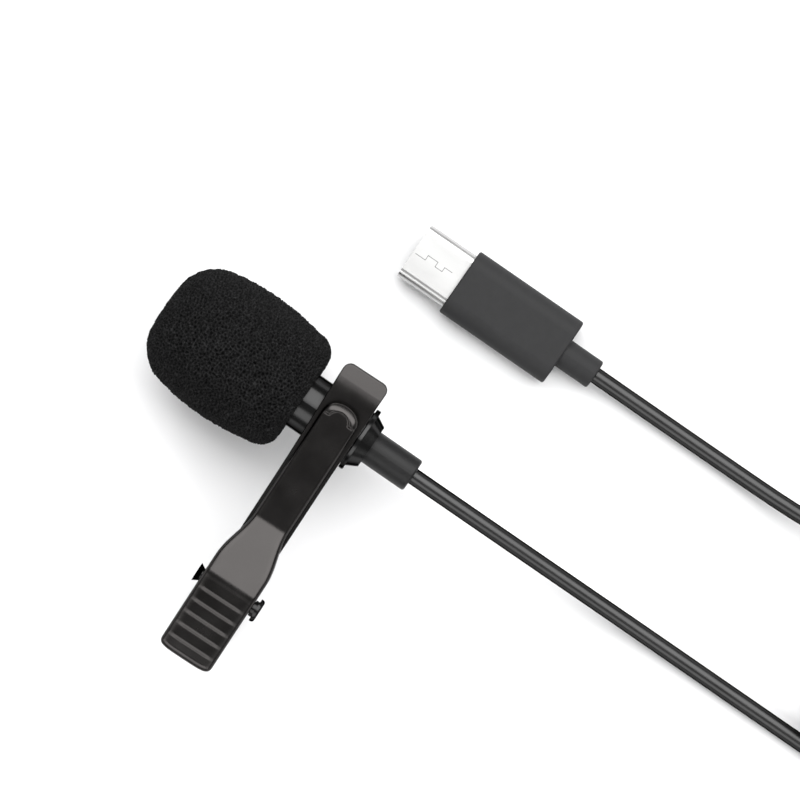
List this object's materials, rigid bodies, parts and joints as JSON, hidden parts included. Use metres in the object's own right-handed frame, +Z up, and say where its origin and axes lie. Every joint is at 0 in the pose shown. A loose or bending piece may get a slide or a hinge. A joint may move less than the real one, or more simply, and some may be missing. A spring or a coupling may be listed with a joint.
{
  "type": "lavalier microphone",
  "caption": "Clip-on lavalier microphone with a pull-off foam windscreen, a sprung swivelling clip and a thin cord ending in a USB-C plug.",
  "frame": {"origin": "on the floor, under the middle of the box of the microphone and clip, the free cord and plug left out", "axes": "+X along the microphone's axis from the foam to the cord, +Y along the clip towards its tab, +Z up"},
  "size_m": [0.1355, 0.0728, 0.019],
  "materials": {
    "foam": "open-cell acoustic foam",
    "barrel_metal": "gloss black",
    "clip_metal": "satin black",
    "pin_metal": "gloss black",
    "spring_steel": "drawn wire",
    "boot_rubber": "matte",
    "cord_jacket": "gloss",
    "plug_plastic": "fine matte",
    "shell_nickel": "polished nickel",
    "liner_plastic": "matte",
    "gold": "gold plate",
    "aluminium": "drawn",
    "steel_mesh": "etched",
    "gauze_cloth": "fine weave",
    "film": "thin film",
    "board": "solder mask",
    "chip": "epoxy",
    "solder": "bright",
    "wire_red": "insulated wire",
    "wire_bare": "bare copper",
    "tie_strap": "woven strap"
  },
  "bodies": {
    "microphone": {"barrel": "barrel_metal", "front_grille": "steel_mesh", "front_gauze": "gauze_cloth", "capsule_sleeve": "boot_rubber", "capsule_can": "aluminium", "diaphragm_ring": "gold", "diaphragm": "film", "diaphragm_spacer": "film", "back_electrode": "gold", "electrode_holder": "liner_plastic", "gate_ring": "gold", "capsule_board": "board", "capsule_transistor": "chip", "solder_pads": "solder", "signal_wire": "wire_red", "ground_wire": "wire_bare", "cord_end_in_boot": "cord_jacket", "cord_ferrule": "solder", "rear_collar": "barrel_metal", "cord_boot": "boot_rubber", "cord_mic_run": "cord_jacket", "cord_plug_run": "cord_jacket", "cord_coil": "cord_jacket", "coil_tie": "tie_strap", "plug_shell": "shell_nickel", "plug_insulator": "liner_plastic", "upper_contacts": "gold", "lower_contacts": "gold", "latch_springs": "solder", "plug_board": "board", "codec_chip": "chip", "board_components": "film", "plug_shield": "solder", "plug_wires": "wire_red", "cord_end_in_plug": "cord_jacket", "plug_crimp": "solder", "plug_overmould": "plug_plastic", "plug_strain_relief": "plug_plastic"},
    "windscreen": {"foam_windscreen": "foam"},
    "holder": {"holder_ring": "clip_metal", "holder_rivet": "pin_metal"},
    "clip_back": {"back_lever": "clip_metal", "pivot_pin": "pin_metal", "torsion_spring": "spring_steel"},
    "clip_front": {"front_lever": "clip_metal"}
  },
  "joints": [
    {"name": "windscreen_pull", "type": "slide", "parent": "microphone", "child": "windscreen", "axis": [-1, 0, 0], "range_m": [0, 0.016]},
    {"name": "holder_turn", "type": "hinge", "parent": "microphone", "child": "holder", "pos_m": [0.0077, 0.014, 0.0095], "axis": [1, 0, 0], "range_deg": [-150, 0]},
    {"name": "clip_swivel", "type": "hinge", "parent": "holder", "child": "clip_back", "pos_m": [0.0077, 0.01321, 0.0151], "axis": [0, -0.1392, 0.9903], "range_deg": [-20, 20]},
    {"name": "clip_open", "type": "hinge", "parent": "clip_back", "child": "clip_front", "pos_m": [0.00833, -0.01249, 0.01305], "axis": [0.9997, 0.0242, 0.0034], "range_deg": [0, 30], "stiffness_Nm_per_rad": 0.06, "springref_deg": -45.84, "deforming": ["torsion_spring"]}
  ]
}
